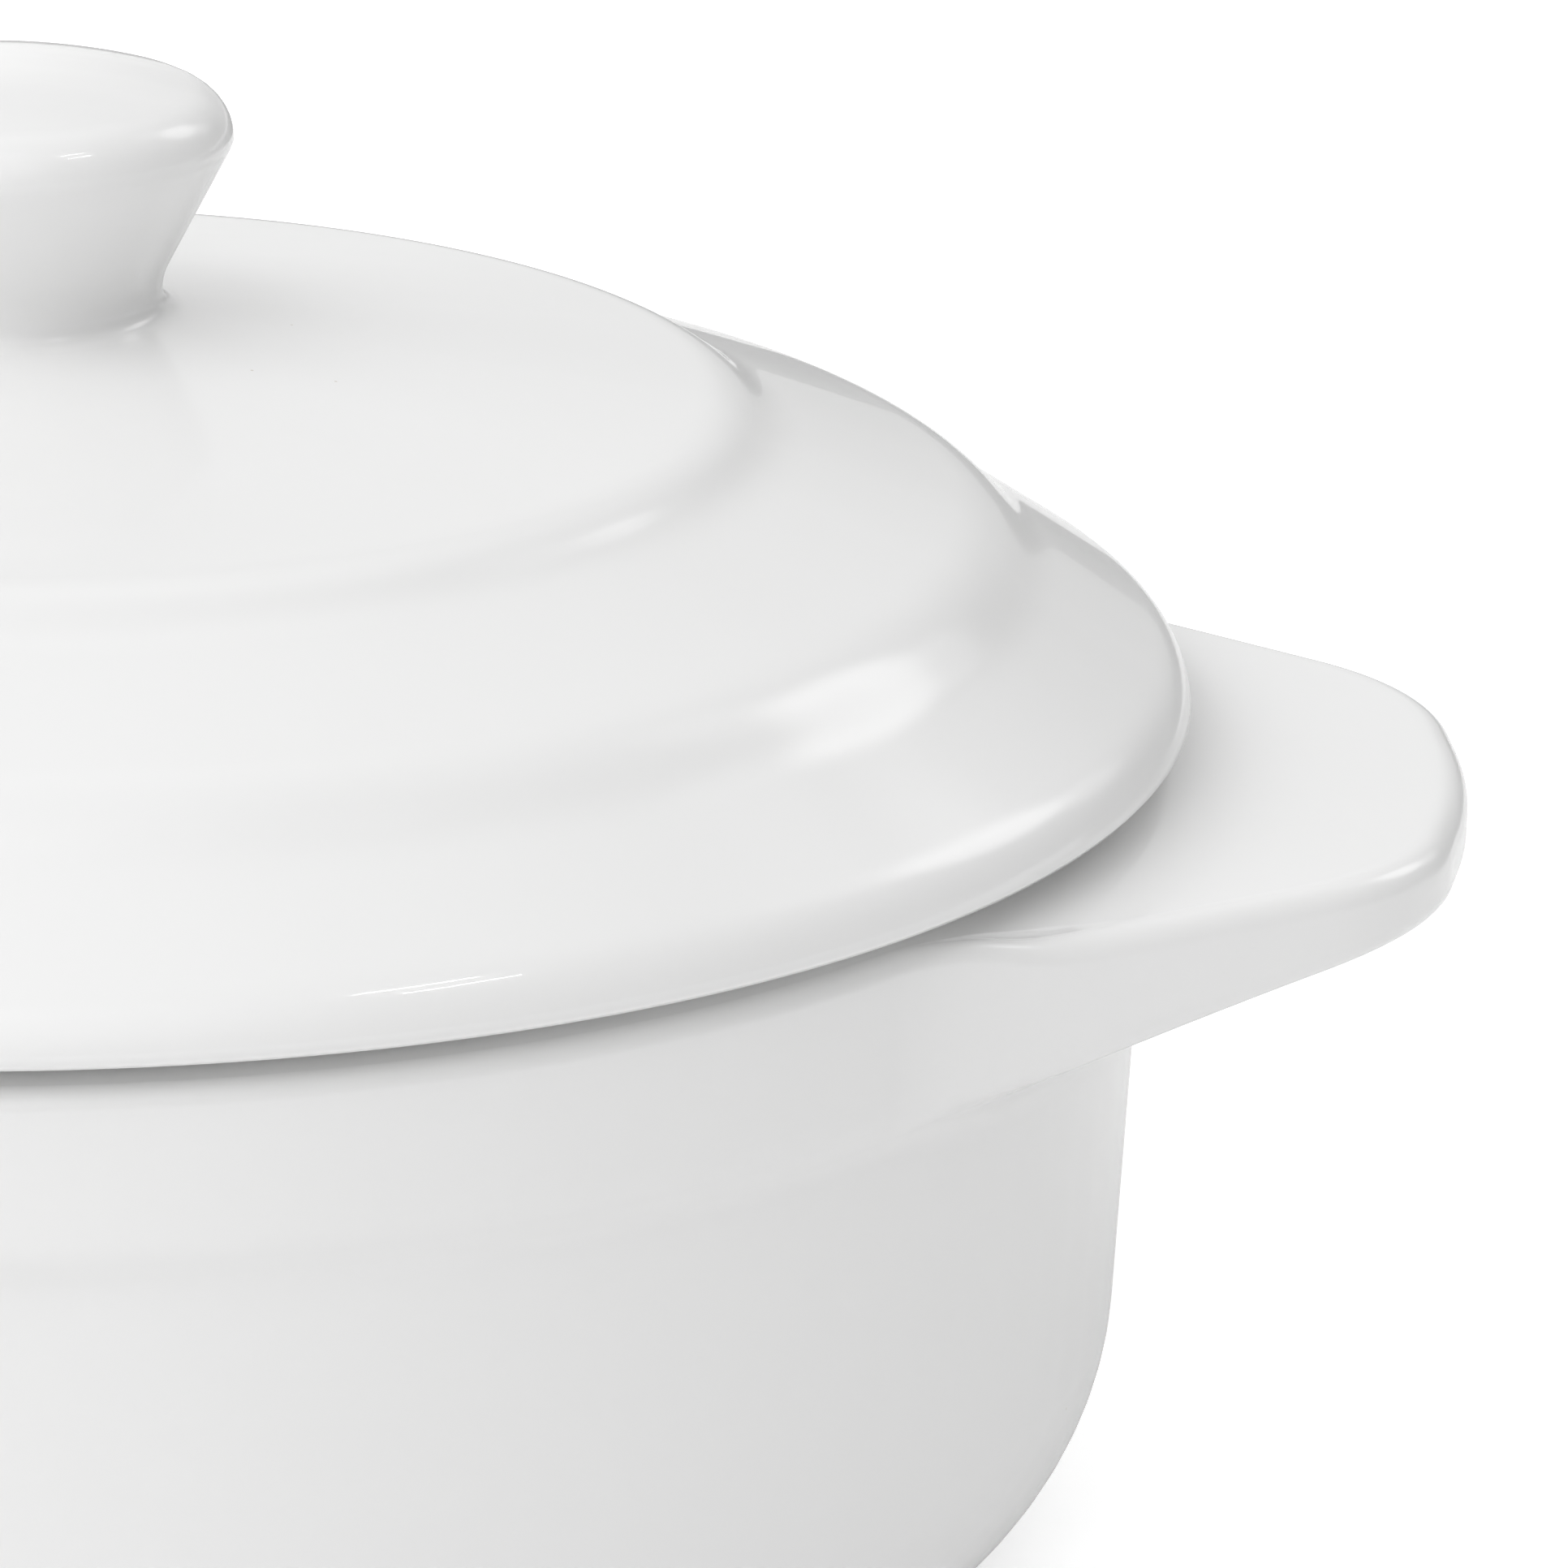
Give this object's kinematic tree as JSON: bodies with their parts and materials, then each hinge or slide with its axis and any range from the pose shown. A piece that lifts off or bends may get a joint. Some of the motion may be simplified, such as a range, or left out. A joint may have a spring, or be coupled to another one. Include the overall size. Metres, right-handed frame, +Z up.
{
  "type": "round casserole dish with lid",
  "caption": "Round white glazed casserole dish with solid side handles and a stepped lift-off lid that carries a flared knob.",
  "frame": {"origin": "centre of the foot ring, on the surface that the dish stands on", "axes": "+X through the right handle, +Z up along the axis of the bowl, lid and knob"},
  "size_m": [0.294, 0.24, 0.1512],
  "materials": {
    "dish_glaze": "clear glossy glaze over white stoneware, bare clay on the foot ring",
    "lid_glaze": "clear glossy glaze over white stoneware"
  },
  "bodies": {
    "dish": {"dish_body": "dish_glaze", "handle_right": "dish_glaze", "handle_left": "dish_glaze"},
    "cover": {"lid": "lid_glaze", "lid_knob": "lid_glaze"}
  },
  "joints": [
    {"name": "lid_lift", "type": "slide", "parent": "dish", "child": "cover", "axis": [0, 0, 1], "range_m": [0, 0.12]}
  ]
}
